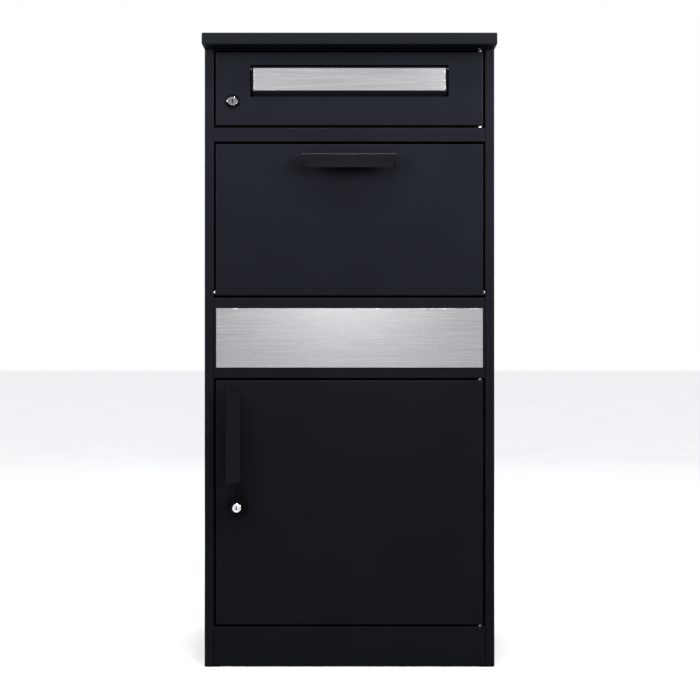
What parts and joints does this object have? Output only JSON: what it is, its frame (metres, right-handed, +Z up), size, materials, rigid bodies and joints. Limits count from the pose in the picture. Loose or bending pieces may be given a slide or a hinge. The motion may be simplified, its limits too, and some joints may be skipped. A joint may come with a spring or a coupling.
{
  "type": "parcel_locker",
  "caption": "Free-standing parcel locker of anthracite coated steel sheet with a mail door and letter slot, a tip-out parcel hatch and a locked collection door",
  "frame": {"origin": "on the ground under the middle of the roof", "axes": "+Z up, -Y the front with the doors, +X the right-hand side seen from the front"},
  "size_m": [0.463, 0.37, 1],
  "materials": {
    "coated_sheet": "fine textured anthracite powder coat",
    "stainless": "brushed along its length",
    "zinc_steel": "zinc plated",
    "black_metal": "smooth black lacquer on a zinc casting",
    "chrome": "polished",
    "nylon": "moulded, off white",
    "rubber": "matt"
  },
  "bodies": {
    "cabinet": {"side_panel_left": "coated_sheet", "side_panel_right": "coated_sheet", "back_panel": "coated_sheet", "base_panel": "coated_sheet", "cabinet_top": "coated_sheet", "top_door_stop": "coated_sheet", "roof_lid": "coated_sheet", "roof_stiffener": "coated_sheet", "plinth_panel": "coated_sheet", "middle_panel": "coated_sheet", "upper_rail": "coated_sheet", "address_plate": "stainless", "mail_floor": "coated_sheet", "baffle_plate": "coated_sheet", "mail_door_pin_top": "stainless", "mail_door_pin_bottom": "stainless", "lower_door_pin_top": "stainless", "lower_door_pin_bottom": "stainless", "parcel_flap_pin_left": "stainless", "parcel_flap_pin_right": "stainless", "mail_door_buffer_top": "rubber", "mail_door_buffer_bottom": "rubber", "parcel_flap_buffer_left": "rubber", "parcel_flap_buffer_right": "rubber", "lower_door_buffer_top": "rubber", "lower_door_buffer_bottom": "rubber"},
    "mail_door": {"mail_door_panel": "coated_sheet", "letter_slot_frame": "coated_sheet", "mail_door_bush_top": "nylon", "mail_door_bush_bottom": "nylon", "letter_flap_rod": "stainless", "mail_lock_body": "black_metal", "mail_lock_nut": "zinc_steel"},
    "letter_flap": {"letter_flap": "coated_sheet", "name_plate": "stainless"},
    "mail_lock": {"mail_lock_plug": "chrome", "mail_lock_cam": "zinc_steel", "mail_lock_cam_screw": "zinc_steel"},
    "parcel_flap": {"parcel_flap_panel": "coated_sheet", "parcel_tilt_plate": "coated_sheet", "parcel_cheek_left": "coated_sheet", "parcel_cheek_right": "coated_sheet", "parcel_flap_bush_left": "nylon", "parcel_flap_bush_right": "nylon", "parcel_flap_handle": "coated_sheet", "parcel_flap_handle_strip": "zinc_steel"},
    "lower_door": {"lower_door_panel": "coated_sheet", "lower_door_stiffener": "coated_sheet", "lower_door_bush_top": "nylon", "lower_door_bush_bottom": "nylon", "door_lock_body": "black_metal", "door_lock_nut": "zinc_steel", "lower_door_handle": "coated_sheet", "lower_door_handle_strip": "zinc_steel"},
    "door_knob": {"door_lock_knob": "black_metal", "door_lock_cam": "zinc_steel", "door_lock_cam_screw": "zinc_steel"},
    "door_key": {"door_lock_key_plug": "chrome"}
  },
  "joints": [
    {"name": "mail_door_hinge", "type": "hinge", "parent": "cabinet", "child": "mail_door", "pos_m": [0.2075, -0.148, 0.918], "axis": [0, 0, 1], "range_deg": [0, 105]},
    {"name": "letter_flap_hinge", "type": "hinge", "parent": "mail_door", "child": "letter_flap", "pos_m": [0, -0.1485, 0.9505], "axis": [-1, 0, 0], "range_deg": [0, 75]},
    {"name": "mail_lock_turn", "type": "hinge", "parent": "mail_door", "child": "mail_lock", "pos_m": [-0.1856, -0.153, 0.898], "axis": [0, 1, 0], "range_deg": [0, 90]},
    {"name": "parcel_flap_hinge", "type": "hinge", "parent": "cabinet", "child": "parcel_flap", "pos_m": [0, -0.148, 0.5945], "axis": [1, 0, 0], "range_deg": [0, 60]},
    {"name": "lower_door_hinge", "type": "hinge", "parent": "cabinet", "child": "lower_door", "pos_m": [0.2075, -0.148, 0.261], "axis": [0, 0, 1], "range_deg": [0, 105]},
    {"name": "door_knob_turn", "type": "hinge", "parent": "lower_door", "child": "door_knob", "pos_m": [-0.1768, -0.153, 0.2557], "axis": [0, 1, 0], "range_deg": [0, 90]},
    {"name": "door_key_turn", "type": "hinge", "parent": "door_knob", "child": "door_key", "pos_m": [-0.1768, -0.153, 0.2557], "axis": [0, 1, 0], "range_deg": [0, 90]}
  ]
}
